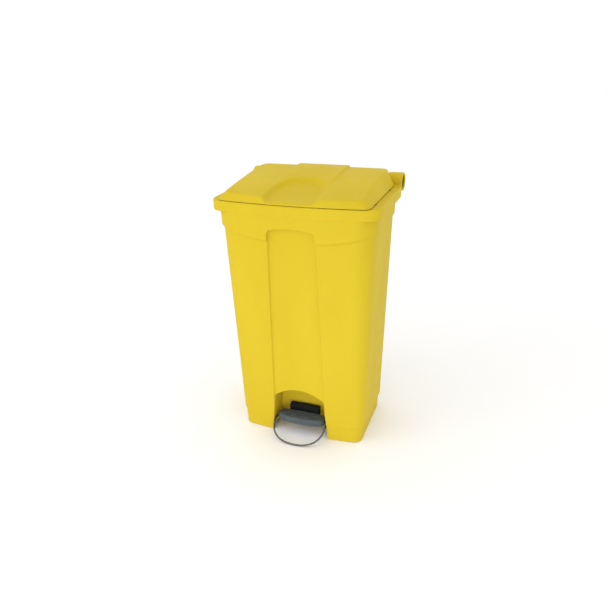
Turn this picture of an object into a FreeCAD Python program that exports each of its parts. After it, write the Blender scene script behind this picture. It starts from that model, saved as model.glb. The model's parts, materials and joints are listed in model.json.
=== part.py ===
"""Pedal bin: a tall tapered plastic tub on two moulded front feet and two rear wheels.

Everything is in millimetres. X is the width, -Y is the front, +Z is up, and the floor is Z = 0.
Sub-parts are drawn about the middle of the tub, and each one's Placement carries the shift along Y
that centres the whole footprint on the origin.
"""
import FreeCAD, Part
import math
import os

import Sketcher

SIZES = {
    # tub
    "frame_shift": 17.396,
    "tub_half_width": 206.0,
    "tub_front": 142.0,
    "tub_rear": 119.0,
    "tub_corner": 34.0,
    "tub_bow": 14.0,
    "draft_slope": 0.0363,
    "wall": 4.0,
    "floor_height": 96.0,
    "floor_plate": 4.0,
    "plinth_height": 55.0,
    "plinth_step": 5.0,
    "collar_step": 5.0,
    "collar_side": 690.0,
    "collar_middle": 658.0,
    # rim
    "rim_bottom": 737.0,
    "rim_top": 768.0,
    "rim_half_width": 248.0,
    "rim_front": 172.0,
    "rim_rear": 146.0,
    "rim_corner": 40.0,
    "rim_bow": 16.0,
    "rim_plate": 8.0,
    "mouth_half_width": 213.0,
    "mouth_front": 158.0,
    "mouth_rear": 112.0,
    # front channel and pedal alcove
    "channel_foot": 86.0,
    "channel_head": 71.0,
    "channel_shoulder": 683.0,
    "channel_apex": 702.0,
    "channel_floor": 146.0,
    "alcove_foot": 94.0,
    "alcove_head": 81.0,
    "alcove_shoulder": 134.0,
    "alcove_apex": 163.0,
    "alcove_back": 80.0,
    # hinge line
    "hinge_back": 154.0,
    "hinge_height": 775.0,
    "ear_radius": 27.5,
    "ear_bore": 21.5,
    "ear_inner": 200.0,
    "ear_outer": 246.0,
    "barrel_radius": 25.0,
    "barrel_half": 196.0,
    "barrel_bore": 13.0,
    "barrel_clearance": 31.0,
    "hinge_tube_radius": 10.0,
    "fit_clearance": 0.08,
    # lid
    "lid_bottom": 768.8,
    "lid_half_width": 226.0,
    "lid_front": 176.0,
    "lid_rear": 132.0,
    "lid_corner": 24.0,
    "lid_bow": 16.0,
    "lid_top_half_width": 205.0,
    "lid_top_front": 164.0,
    "lid_top_middle": 804.7,
    "lid_top_slope": 0.095,
    "lid_crown": 7.0,
    "lid_wall": 4.0,
    "band_half_width": 82.0,
    "band_rise": 5.0,
    "grip_half_width": 68.0,
    "grip_centre": 115.0,
    "grip_reach": 84.0,
    "grip_draft": 48.0,
    "grip_floor_middle": 805.0,
    "grip_floor_slope": 0.159,
    # pedal linkage
    "pivot_front": 25.0,
    "pivot_height": 46.0,
    "pedal_axle_radius": 5.0,
    "lever_rear": 135.6,
    "lever_drop": 19.5,
    "lever_half_width": 15.0,
    "lever_thick": 10.0,
    "pad_half_width": 79.0,
    "pad_bottom": 42.0,
    "pad_top": 64.0,
    "pad_front": 147.0,
    "pad_back": 108.0,
    "pad_bow": 13.0,
    "heel_half_width": 50.0,
    "heel_top": 81.0,
    "heel_front": 107.6,
    "heel_back": 90.0,
    "rod_radius": 4.0,
    "rod_foot_back": 111.3,
    "rod_foot_height": 26.5,
    "rod_slope": 0.0151,
    "link_pin_radius": 3.0,
    "lid_arm_y": 127.0,
    "lid_arm_z": 755.4,
    "groove_half_width": 16.0,
    "groove_bottom": 99.0,
    # stabiliser
    "loop_wire": 2.7,
    "loop_half_width": 86.0,
    "loop_floor_gap": 1.2,
    # wheels
    "wheel_side": 135.0,
    "wheel_back": 104.0,
    "wheel_height": 31.2,
    "wheel_radius": 30.0,
    "tyre_bore": 22.0,
    "wheel_half_width": 12.0,
    "wheel_pin_radius": 4.0,
}

LEFT_RIGHT = (("left", -1), ("right", 1))

doc = FreeCAD.newDocument("pedal_bin")
parts = []


# ---------------------------------------------------------------- document helpers
def make_sheet():
    """Put the driving dimensions in a spreadsheet, one alias to a row."""
    sheet = doc.addObject("Spreadsheet::Sheet", "Dims")
    for row, (name, number) in enumerate(SIZES.items(), start=1):
        sheet.set("A%d" % row, name)
        sheet.set("B%d" % row, str(number))
        sheet.setAlias("B%d" % row, name)
    doc.recompute()
    return sheet


def value(expression):
    """The number that an expression on the sheet has now."""
    return float(sheet.evalExpression(str(expression)))


def bind(thing, **expressions):
    """Bind properties to sheet expressions, by property name."""
    for name, expression in expressions.items():
        thing.setExpression(name, str(expression))


def grown(height, outset="0"):
    """How far the drafted wall stands outside its plinth-level line at a height."""
    return "(%s) + ((%s) - Dims.plinth_height) * Dims.draft_slope" % (outset, height)


def new_body(label):
    body = doc.addObject("PartDesign::Body", label)
    body.Label = label
    return body


def finish(thing):
    """Add the shift along Y to a finished sub-part's Placement and put it on the list to write."""
    along = dict(thing.ExpressionEngine).get(".Placement.Base.y", "0")
    thing.setExpression("Placement.Base.y", "Dims.frame_shift + (%s)" % along)
    parts.append(thing)
    return thing


def sketch_on(body, name, plane, offset="0", tilt="0"):
    """A sketch on an origin plane of its body, moved along the plane's normal and tilted about X."""
    sketch = body.newObject("Sketcher::SketchObject", name)
    support = [item for item in body.Origin.OriginFeatures if item.Role == plane][0]
    sketch.AttachmentSupport = [(support, "")]
    sketch.MapMode = "FlatFace"
    turn = FreeCAD.Rotation(FreeCAD.Vector(1, 0, 0), math.degrees(value(tilt)))
    sketch.AttachmentOffset = FreeCAD.Placement(FreeCAD.Vector(0, 0, value(offset)), turn)
    bind(sketch, **{"AttachmentOffset.Base.z": offset})
    return sketch


def vector(x, y):
    return FreeCAD.Vector(x, y, 0)


def circle(sketch, across, up, radius):
    """A circle with its centre and radius bound to the sheet."""
    shape = Part.Circle(vector(value(across), value(up)), FreeCAD.Vector(0, 0, 1), value(radius))
    index = sketch.addGeometry(shape, False)
    lock_point(sketch, index, 3, across, up)
    ring = sketch.addConstraint(Sketcher.Constraint("Radius", index, value(radius)))
    sketch.setExpression("Constraints[%d]" % ring, radius)


def lock_point(sketch, index, point, across, up):
    """Bind one point of a sketch to two sheet expressions."""
    for kind, size in (("DistanceX", across), ("DistanceY", up)):
        lock = Sketcher.Constraint(kind, -1, 1, index, point, value(size))
        number = sketch.addConstraint(lock)
        sketch.setExpression("Constraints[%d]" % number, str(size))


def profile(sketch, corners):
    """A closed outline through corners given as pairs of expressions.

    A corner given with a third item is the end of an arc that passes through that middle point.
    """
    ends = [vector(value(corner[0]), value(corner[1])) for corner in corners]
    tips = []
    for number, corner in enumerate(corners):
        start = ends[number - 1]
        if len(corner) == 3:
            middle = vector(value(corner[2][0]), value(corner[2][1]))
            left_turn = (middle - start).cross(ends[number] - middle).z > 0
            first, last = (start, ends[number]) if left_turn else (ends[number], start)
            sketch.addGeometry(Part.Arc(first, middle, last), False)
            tips.append((1, 2) if left_turn else (2, 1))
        else:
            sketch.addGeometry(Part.LineSegment(start, ends[number]), False)
            tips.append((1, 2))
    for number, corner in enumerate(corners):
        after = (number + 1) % len(corners)
        joint = Sketcher.Constraint("Coincident", number, tips[number][1], after, tips[after][0])
        sketch.addConstraint(joint)
        lock_point(sketch, number, tips[number][1], corner[0], corner[1])
    for number, corner in enumerate(corners):
        if len(corner) == 3:
            place = vector(value(corner[2][0]), value(corner[2][1]))
            point = sketch.addGeometry(Part.Point(place), True)
            lock_point(sketch, point, 1, corner[2][0], corner[2][1])
            sketch.addConstraint(Sketcher.Constraint("PointOnObject", point, 1, number))


def outline(sketch, half_width, front, rear, corner, bow):
    """A rounded rectangle whose front edge bows forward, fully bound to the sheet."""
    bow_radius = "((%s)^2 + (%s)^2) / (2 * (%s))" % (half_width, bow, bow)
    bow_centre = "%s - (%s) - (%s)" % (bow_radius, front, bow)
    wide, back, round_corner = value(half_width), value(rear), value(corner)
    big, middle = value(bow_radius), value(bow_centre)
    inner_x = wide - round_corner
    inner_y = middle - math.sqrt((big - round_corner) ** 2 - inner_x ** 2)
    swing = math.asin(inner_x / (big - round_corner))
    south = 1.5 * math.pi
    normal = FreeCAD.Vector(0, 0, 1)

    def arc(x, y, radius, start, stop):
        return Part.ArcOfCircle(Part.Circle(vector(x, y), normal, radius), start, stop)

    shapes = [
        Part.LineSegment(vector(wide, inner_y), vector(wide, back - round_corner)),
        arc(inner_x, back - round_corner, round_corner, 0, 0.5 * math.pi),
        Part.LineSegment(vector(inner_x, back), vector(-inner_x, back)),
        arc(-inner_x, back - round_corner, round_corner, 0.5 * math.pi, math.pi),
        Part.LineSegment(vector(-wide, back - round_corner), vector(-wide, inner_y)),
        arc(-inner_x, inner_y, round_corner, math.pi, south - swing),
        arc(0, middle, big, south - swing, south + swing),
        arc(inner_x, inner_y, round_corner, south + swing, 2 * math.pi),
    ]
    right, rear_line, left, front_bow, front_right = 0, 2, 4, 6, 7
    sketch.addGeometry(shapes, False)
    for number in range(len(shapes)):
        after = (number + 1) % len(shapes)
        sketch.addConstraint(Sketcher.Constraint("Tangent", number, 2, after, 1))
    sketch.addConstraint(Sketcher.Constraint("Vertical", right))
    sketch.addConstraint(Sketcher.Constraint("Vertical", left))
    sketch.addConstraint(Sketcher.Constraint("Horizontal", rear_line))
    sketch.addConstraint(Sketcher.Constraint("PointOnObject", front_bow, 3, -2))
    for first, second in ((1, 3), (3, 5), (5, 7)):
        sketch.addConstraint(Sketcher.Constraint("Equal", first, second))
    sized = [
        (Sketcher.Constraint("Radius", front_bow, big), bow_radius),
        (Sketcher.Constraint("DistanceY", -1, 1, front_bow, 3, middle), bow_centre),
        (Sketcher.Constraint("Radius", front_right, round_corner), corner),
        (Sketcher.Constraint("DistanceX", -1, 1, right, 1, wide), half_width),
        (Sketcher.Constraint("DistanceX", left, 1, -1, 1, wide), half_width),
        (Sketcher.Constraint("DistanceY", -1, 1, rear_line, 1, back), rear),
    ]
    for constraint, expression in sized:
        index = sketch.addConstraint(constraint)
        sketch.setExpression("Constraints[%d]" % index, expression)


def extrude(kind, body, name, sketch, length, taper=None, backwards=False, midplane=False):
    """Pad or pocket a sketch; a pocket that takes nothing away stops the build."""
    before = body.Shape.Volume if body.Shape and not body.Shape.isNull() else 0.0
    feature = body.newObject("PartDesign::" + kind, name)
    feature.Profile = sketch
    feature.Length = value(length)
    bind(feature, Length=length)
    feature.Reversed = backwards
    if midplane:
        feature.SideType = "Symmetric"
    if taper:
        bind(feature, TaperAngle=taper)
    doc.recompute()
    change = body.Shape.Volume - before
    if (kind == "Pad") != (change > 1.0):
        raise RuntimeError("%s changes the volume by %.1f" % (name, change))
    return feature


def pad(body, name, sketch, length, **how):
    return extrude("Pad", body, name, sketch, length, **how)


def pocket(body, name, sketch, length, **how):
    return extrude("Pocket", body, name, sketch, length, **how)


def round_bar(name, radius, length, x, y, z, direction):
    """A plain cylinder from a point along a direction, bound to the sheet."""
    bar = doc.addObject("Part::Cylinder", name)
    bind(bar, Radius=radius, Height=length)
    turn = FreeCAD.Rotation(FreeCAD.Vector(0, 0, 1), FreeCAD.Vector(*direction))
    bar.Placement = FreeCAD.Placement(FreeCAD.Vector(value(x), value(y), value(z)), turn)
    bind(bar, **{"Placement.Base.x": x, "Placement.Base.y": y, "Placement.Base.z": z})
    return bar


def block(name, sizes, corner):
    """A box with its three sizes and its low corner bound to the sheet."""
    box = doc.addObject("Part::Box", name)
    bind(box, Length=sizes[0], Width=sizes[1], Height=sizes[2])
    for axis, place in zip("xyz", corner):
        box.setExpression("Placement.Base." + axis, str(place))
    return box


def fuse(name, shapes):
    joined = doc.addObject("Part::MultiFuse", name)
    joined.Shapes = shapes
    joined.Label = name
    return joined


def cut(name, base, tools):
    tool = tools[0] if len(tools) == 1 else fuse(name + "_tools", tools)
    result = doc.addObject("Part::Cut", name)
    result.Base = base
    result.Tool = tool
    result.Label = name
    return result


def group(name, shapes):
    """Separate solids that share one sub-part, such as identical screws."""
    bundle = doc.addObject("Part::Compound", name)
    bundle.Links = shapes
    bundle.Label = name
    return bundle


def screw(name, x, y, z, direction, shank="2", length="12", head="4.2", rise="2.6"):
    """A pan-head screw: its head stands on the point, and its shank runs against the direction."""
    top = round_bar(name + "_head", head, rise, x, y, z, direction)
    back = [-part for part in direction]
    stem = round_bar(name + "_shank", shank, length, x, y, z, back)
    return fuse(name, [top, stem])


def ring(name, outer, inner, length, x, y, z, direction):
    shell = round_bar(name + "_outside", outer, length, x, y, z, direction)
    hole = round_bar(name + "_inside", inner, length, x, y, z, direction)
    return cut(name, shell, [hole])


# ---------------------------------------------------------------- tub
def tub_outline(body, name, height, outset):
    """The drafted wall's outline at a height, moved out or in by an outset."""
    sketch = sketch_on(body, name, "XY_Plane", height)
    grow = grown(height, outset)
    outline(sketch, "Dims.tub_half_width + " + grow, "Dims.tub_front + " + grow,
            "Dims.tub_rear + " + grow, "Dims.tub_corner + " + grow, "Dims.tub_bow")
    return sketch


def tub_outside(body):
    """Collar with a sagging lower edge, drafted wall, stepped plinth and overhanging rim."""
    low = "(Dims.collar_middle - 6)"
    draft = "atan(Dims.draft_slope)"
    collar = tub_outline(body, "collar_outline", low, "Dims.collar_step")
    pad(body, "collar", collar, "Dims.rim_bottom - " + low, taper=draft)
    sag = sketch_on(body, "collar_edge", "XZ_Plane")
    beyond = "Dims.rim_half_width + 20"
    profile(sag, [
        ("-(%s)" % beyond, low + " - 10"),
        (beyond, low + " - 10"),
        (beyond, "Dims.collar_side"),
        ("Dims.tub_half_width + 14", "Dims.collar_side"),
        ("-(Dims.tub_half_width + 14)", "Dims.collar_side", ("0", "Dims.collar_middle")),
        ("-(%s)" % beyond, "Dims.collar_side"),
    ])
    pocket(body, "collar_sag", sag, "600", midplane=True)
    wall = tub_outline(body, "wall_outline", "Dims.plinth_height", "0")
    pad(body, "tapered_wall", wall, "Dims.rim_bottom - Dims.plinth_height", taper=draft)
    plinth = sketch_on(body, "plinth_outline", "XY_Plane")
    grow = grown("0", "-Dims.plinth_step")
    outline(plinth, "Dims.tub_half_width + " + grow, "Dims.tub_front + 4 + " + grow,
            "Dims.tub_rear + " + grow, "Dims.tub_corner + " + grow, "Dims.tub_bow")
    pad(body, "plinth", plinth, "Dims.plinth_height", taper=draft)
    rim = sketch_on(body, "rim_outline", "XY_Plane", "Dims.rim_bottom")
    outline(rim, "Dims.rim_half_width", "Dims.rim_front", "Dims.rim_rear",
            "Dims.rim_corner", "Dims.rim_bow")
    pad(body, "rim", rim, "Dims.rim_top - Dims.rim_bottom")


def tub_ears(body):
    """A round ear with a gusset at each end of the hinge line."""
    for side, sign in LEFT_RIGHT:
        start = "Dims.ear_inner" if sign > 0 else "-Dims.ear_inner"
        width = "Dims.ear_outer - Dims.ear_inner"
        face = sketch_on(body, "ear_face_" + side, "YZ_Plane", start)
        circle(face, "Dims.hinge_back", "Dims.hinge_height", "Dims.ear_radius")
        pad(body, "ear_" + side, face, width, backwards=sign < 0)
        web = sketch_on(body, "ear_web_face_" + side, "YZ_Plane", start)
        profile(web, [
            ("Dims.hinge_back - Dims.ear_radius", "Dims.hinge_height"),
            ("Dims.hinge_back - Dims.ear_radius", "Dims.rim_bottom - 30"),
            ("Dims.hinge_back - 13", "Dims.rim_bottom - 30"),
            ("Dims.hinge_back + 20", "Dims.hinge_height - 18"),
            ("Dims.hinge_back", "Dims.hinge_height"),
        ])
        pad(body, "ear_web_" + side, web, "Dims.tub_half_width + 20 - Dims.ear_inner",
            backwards=sign < 0)


def tub_inside(body):
    """Waste cavity, mouth, hinge shelf and the hollow under the raised floor."""
    floor_top = "Dims.floor_height + Dims.floor_plate"
    ceiling = "Dims.rim_top - Dims.rim_plate"
    draft = "atan(Dims.draft_slope)"
    cavity = tub_outline(body, "cavity_outline", floor_top, "-Dims.wall")
    pocket(body, "cavity", cavity, "%s - (%s)" % (ceiling, floor_top), taper=draft, backwards=True)
    mouth = sketch_on(body, "mouth_outline", "XY_Plane", ceiling + " - 2")
    outline(mouth, "Dims.mouth_half_width", "Dims.mouth_front", "Dims.mouth_rear",
            "Dims.tub_corner", "Dims.tub_bow")
    pocket(body, "mouth", mouth, "Dims.rim_plate + 4", backwards=True)
    shelf = sketch_on(body, "shelf_outline", "XY_Plane", "Dims.rim_bottom - 8")
    wide = "Dims.tub_half_width + 18"
    profile(shelf, [
        ("-(%s)" % wide, "Dims.mouth_rear"),
        (wide, "Dims.mouth_rear"),
        (wide, "Dims.tub_rear + 22"),
        ("-(%s)" % wide, "Dims.tub_rear + 22"),
    ])
    pad(body, "hinge_shelf", shelf, "Dims.rim_top - Dims.rim_bottom + 8")
    swing = sketch_on(body, "barrel_room_face", "YZ_Plane")
    circle(swing, "Dims.hinge_back", "Dims.hinge_height", "Dims.barrel_clearance")
    pocket(body, "barrel_room", swing, "2 * Dims.ear_inner", midplane=True)
    under = tub_outline(body, "under_outline", "0", "-Dims.plinth_step - Dims.wall")
    pocket(body, "under_hollow", under, "Dims.floor_height", backwards=True)


def tub_front_details(body):
    """Shallow front channel with an arched head, and the pedal alcove under it."""
    lean = "Dims.draft_slope"
    skin = "Dims.wall"

    def channel_shape(sketch, margin):
        foot, head = "Dims.channel_foot + " + margin, "Dims.channel_head + " + margin
        turn, crest = "Dims.channel_head - 13 + " + margin, "Dims.channel_apex - 6 + " + margin
        knee = "Dims.channel_head - 3.5 + " + margin
        bend = "Dims.channel_apex - 10.5 + " + margin
        profile(sketch, [
            ("-(%s)" % foot, "40"),
            (foot, "40"),
            (head, "Dims.channel_shoulder"),
            (turn, crest, (knee, bend)),
            ("-(%s)" % turn, crest, ("0", "Dims.channel_apex + " + margin)),
            ("-(%s)" % head, "Dims.channel_shoulder", ("-(%s)" % knee, bend)),
        ])

    def alcove_shape(sketch, margin, foot):
        profile(sketch, [
            ("-(Dims.alcove_foot + %s)" % margin, foot),
            ("Dims.alcove_foot + " + margin, foot),
            ("Dims.alcove_head + " + margin, "Dims.alcove_shoulder"),
            ("-(Dims.alcove_head + %s)" % margin, "Dims.alcove_shoulder",
             ("0", "Dims.alcove_apex + " + margin)),
        ])

    backing = sketch_on(body, "channel_backing_outline", "XZ_Plane", "Dims.channel_floor - " + skin, lean)
    channel_shape(backing, skin)
    pad(body, "channel_backing", backing, "2 * " + skin)
    channel = sketch_on(body, "channel_outline", "XZ_Plane", "Dims.channel_floor", lean)
    channel_shape(channel, "0")
    pocket(body, "channel", channel, "30", backwards=True)
    housing = sketch_on(body, "alcove_housing_outline", "XZ_Plane", "Dims.channel_floor - 1", lean)
    alcove_shape(housing, skin, "14")
    pad(body, "alcove_housing", housing, "Dims.channel_floor - 1 - Dims.alcove_back + " + skin,
        backwards=True)
    alcove = sketch_on(body, "alcove_outline", "XZ_Plane", "Dims.channel_floor + 30", lean)
    alcove_shape(alcove, "0", "-2")
    pocket(body, "alcove", alcove, "Dims.channel_floor + 30 - Dims.alcove_back")
    slot = sketch_on(body, "lever_slot_outline", "XZ_Plane", "Dims.alcove_back - 10")
    half, top = "(Dims.lever_half_width + 4)", "Dims.pad_top + 12"
    profile(slot, [("-" + half, "-2"), (half, "-2"), (half, top), ("-" + half, top)])
    pocket(body, "lever_slot", slot, "25", backwards=True)


def tub_rear_details(body):
    """Groove for the push rod down the back, hinge tube bores and two wheel notches."""
    skin = "Dims.wall"
    housing = sketch_on(body, "groove_housing_face", "YZ_Plane")
    face = "Dims.groove_bottom - " + skin
    inside = "%s - 2" % grown("Dims.rim_bottom", "Dims.tub_rear")
    profile(housing, [
        (face, "Dims.floor_height"),
        ("Dims.tub_rear - 1", "Dims.floor_height"),
        (inside, "Dims.rim_bottom"),
        ("Dims.mouth_rear + 2", "Dims.rim_top - 1"),
        (face, "Dims.rim_top - 1"),
    ])
    pad(body, "groove_housing", housing, "2 * (Dims.groove_half_width + %s)" % skin, midplane=True)
    groove = sketch_on(body, "groove_outline", "XY_Plane", "-1")
    profile(groove, [
        ("-Dims.groove_half_width", "Dims.groove_bottom"),
        ("Dims.groove_half_width", "Dims.groove_bottom"),
        ("Dims.groove_half_width", "Dims.rim_rear + 20"),
        ("-Dims.groove_half_width", "Dims.rim_rear + 20"),
    ])
    pocket(body, "rod_groove", groove, "Dims.rim_top + 4", backwards=True)
    bore = sketch_on(body, "ear_bore_face", "YZ_Plane")
    circle(bore, "Dims.hinge_back", "Dims.hinge_height", "Dims.ear_bore")
    pocket(body, "ear_bores", bore, "2 * Dims.ear_outer + 10", midplane=True)
    for side, sign in LEFT_RIGHT:
        notch = sketch_on(body, "wheel_notch_face_" + side, "XY_Plane", "-1")
        near = "%d * (Dims.wheel_side - 22)" % sign
        far = "%d * (Dims.wheel_side + 22)" % sign
        profile(notch, [
            (near, "Dims.wheel_back - 10"),
            (far, "Dims.wheel_back - 10"),
            (far, "Dims.tub_rear + 10"),
            (near, "Dims.tub_rear + 10"),
        ])
        pocket(body, "wheel_notch_" + side, notch, "2 * Dims.wheel_height + 9", backwards=True)


def buffer_seats(body):
    """Four shallow seats in the rim top, under the lid's side edges."""
    for side, sign in LEFT_RIGHT:
        for name, along in (("front", "-110"), ("rear", "60")):
            seat = sketch_on(body, "buffer_seat_%s_%s" % (name, side), "XY_Plane", "Dims.rim_top - 2.5")
            circle(seat, "%d * (Dims.mouth_half_width + 7)" % sign, along, "5.5")
            pocket(body, "buffer_pocket_%s_%s" % (name, side), seat, "6", backwards=True)


def tub():
    body = new_body("tub")
    tub_outside(body)
    tub_ears(body)
    tub_inside(body)
    tub_front_details(body)
    tub_rear_details(body)
    buffer_seats(body)
    return finish(body)


# ---------------------------------------------------------------- lid
def lid_outline(body, name, inset, top):
    """The lid's lower outline on a level plane, or its upper one on the sloping crown plane."""
    grow = "- (%s)" % inset
    if top:
        sketch = sketch_on(body, name, "XY_Plane", "Dims.lid_top_middle - (%s)" % inset,
                           "Dims.lid_top_slope")
        outline(sketch, "Dims.lid_top_half_width " + grow, "Dims.lid_top_front " + grow,
                "Dims.lid_rear " + grow, "Dims.lid_corner " + grow, "Dims.lid_bow")
    else:
        sketch = sketch_on(body, name, "XY_Plane", "Dims.lid_bottom")
        outline(sketch, "Dims.lid_half_width " + grow, "Dims.lid_front " + grow,
                "Dims.lid_rear " + grow, "Dims.lid_corner " + grow, "Dims.lid_bow")
    return sketch


def crown_height(along, lift="0"):
    """Height of the lid's top plane over a point along Y, with a lift."""
    return "Dims.lid_top_middle + (%s) * Dims.lid_top_slope + (%s)" % (along, lift)


def grip_shape(sketch, margin):
    """The finger recess: straight sides from the front edge, closed by a half ellipse."""
    wide = "Dims.grip_half_width + " + margin
    start = "-(Dims.lid_front + Dims.lid_bow + 20)"
    if value(margin) > 0:
        start = "-(Dims.lid_front + Dims.lid_bow - Dims.lid_wall - 2.5)"
    middle = "-Dims.grip_centre"
    reach = "Dims.grip_reach + " + margin
    side_x = "(%s) * 0.7071" % wide
    side_y = "%s + (%s) * 0.7071" % (middle, reach)
    profile(sketch, [
        ("-(%s)" % wide, start),
        (wide, start),
        (wide, middle),
        (side_x, side_y, ("(%s) * 0.9239" % wide, "%s + (%s) * 0.3827" % (middle, reach))),
        ("-(%s)" % side_x, side_y, ("0", "%s + (%s)" % (middle, reach))),
        ("-(%s)" % wide, middle,
         ("-(%s) * 0.9239" % wide, "%s + (%s) * 0.3827" % (middle, reach))),
    ])


def lid():
    body = new_body("lid")
    shell = body.newObject("PartDesign::AdditiveLoft", "lid_shell")
    shell.Profile = lid_outline(body, "lid_foot", "0", False)
    shell.Sections = [lid_outline(body, "lid_head", "0", True)]
    shell.Ruled = True
    doc.recompute()
    pad(body, "crown_block", lid_outline(body, "crown_outline", "0", True), "Dims.lid_crown + 2",
        taper="-38")
    rear = "Dims.lid_rear"
    front = "-(Dims.lid_top_front + Dims.lid_bow + 1)"
    above = "Dims.lid_crown + 30"
    crown = sketch_on(body, "crown_face", "YZ_Plane")
    profile(crown, [
        (rear + " + 12", crown_height(rear)),
        (rear + " + 12", crown_height(rear, above)),
        (front + " - 30", crown_height(front, above)),
        (front + " - 30", crown_height(front)),
        (front, crown_height(front)),
        (rear, crown_height(rear), ("-24.5", crown_height("-24.5", "Dims.lid_crown"))),
    ])
    pocket(body, "crown_curve", crown, "2 * Dims.rim_half_width", midplane=True)
    band = sketch_on(body, "band_face", "YZ_Plane")
    profile(band, [
        (rear, crown_height(rear)),
        (rear, crown_height(rear, "Dims.band_rise")),
        ("-118", crown_height("-118"), ("10", crown_height("10", "Dims.lid_crown + 4.6"))),
    ])
    pad(body, "raised_band", band, "2 * Dims.band_half_width", midplane=True)
    hollow = body.newObject("PartDesign::SubtractiveLoft", "lid_hollow")
    hollow.Profile = lid_outline(body, "hollow_foot", "Dims.lid_wall", False)
    hollow.Sections = [lid_outline(body, "hollow_head", "Dims.lid_wall", True)]
    hollow.Ruled = True
    doc.recompute()
    tilt = "Dims.grip_floor_slope"
    backing = sketch_on(body, "grip_backing_outline", "XY_Plane",
                        "Dims.grip_floor_middle - Dims.lid_wall", tilt)
    grip_shape(backing, "Dims.lid_wall")
    pad(body, "grip_backing", backing, "12", taper="Dims.grip_draft")
    trim = sketch_on(body, "front_trim_outline", "XY_Plane", "Dims.lid_bottom")
    nose = "(Dims.lid_front + Dims.lid_bow + 0.3)"
    profile(trim, [
        ("-95", "-%s - 40" % nose),
        ("95", "-%s - 40" % nose),
        ("95", "3.5 - " + nose),
        ("-95", "3.5 - " + nose, ("0", "-" + nose)),
    ])
    pocket(body, "front_trim", trim, "20", taper="32.5", backwards=True)
    grip = sketch_on(body, "grip_outline", "XY_Plane", "Dims.grip_floor_middle", tilt)
    grip_shape(grip, "0")
    pocket(body, "finger_grip", grip, "30", taper="Dims.grip_draft", backwards=True)
    barrel = sketch_on(body, "barrel_face", "YZ_Plane")
    circle(barrel, "Dims.hinge_back", "Dims.hinge_height", "Dims.barrel_radius")
    pad(body, "barrel", barrel, "2 * Dims.barrel_half", midplane=True)
    web = sketch_on(body, "barrel_web_face", "YZ_Plane")
    profile(web, [
        ("Dims.lid_rear - 3.5", "Dims.lid_bottom"),
        ("Dims.hinge_back", "Dims.lid_bottom"),
        ("Dims.hinge_back", "Dims.hinge_height + Dims.barrel_radius - 0.5"),
        ("Dims.lid_rear - 3.5", crown_height("Dims.lid_rear", "-2")),
    ])
    pad(body, "barrel_web", web, "2 * (Dims.lid_top_half_width - 15)", midplane=True)
    bore = sketch_on(body, "barrel_bore_face", "YZ_Plane")
    circle(bore, "Dims.hinge_back", "Dims.hinge_height", "Dims.barrel_bore")
    pocket(body, "barrel_bore", bore, "2 * Dims.barrel_half + 20", midplane=True)
    room = sketch_on(body, "rod_eye_room_face", "YZ_Plane")
    circle(room, "Dims.lid_arm_y", "Dims.lid_arm_z", "16.2")
    pocket(body, "rod_eye_room", room, "17", midplane=True)
    for side, sign in LEFT_RIGHT:
        room = sketch_on(body, "ear_room_face_" + side, "YZ_Plane", "%d * (Dims.ear_inner - 2)" % sign)
        circle(room, "Dims.hinge_back", "Dims.hinge_height", "Dims.ear_radius + 1")
        pocket(body, "ear_room_" + side, room, "60", backwards=sign > 0)
    return finish(body)


def lid_buffers():
    """Four rubber discs in their seats on the rim."""
    discs = []
    for side, sign in LEFT_RIGHT:
        for name, along in (("front", "-110"), ("rear", "60")):
            discs.append(round_bar("buffer_%s_%s" % (name, side), "5.4", "3",
                                   "%d * (Dims.mouth_half_width + 7)" % sign, along,
                                   "Dims.rim_top - 2.5", (0, 0, 1)))
    return finish(group("lid_buffers", discs))


# ---------------------------------------------------------------- hinge
def hinge():
    """Steel tube through both ears, a plug that holds it in each ear, and a bush in the barrel."""
    back, height = "Dims.hinge_back", "Dims.hinge_height"
    half = "(Dims.ear_outer - 12)"
    tube = ring("hinge_tube", "Dims.hinge_tube_radius", "Dims.hinge_tube_radius - 2",
                "2 * " + half, "-" + half, back, height, (1, 0, 0))
    finish(tube)
    socket = "Dims.hinge_tube_radius + Dims.fit_clearance"
    for side, sign in LEFT_RIGHT:
        way = (sign, 0, 0)
        start = "%d * (Dims.ear_inner + 1)" % sign
        plug = round_bar("plug_drum_" + side, "Dims.ear_bore - 0.05",
                         "Dims.ear_outer - Dims.ear_inner - 6", start, back, height, way)
        hole = round_bar("plug_socket_" + side, socket, "Dims.ear_outer - Dims.ear_inner - 12.9",
                         start, back, height, way)
        finish(cut("hinge_plug_" + side, plug, [hole]))
        bush = ring("lid_bush_" + side, "Dims.barrel_bore - 0.05", socket, "30",
                    "%d * (Dims.barrel_half - 30)" % sign, back, height, way)
        finish(bush)


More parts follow.
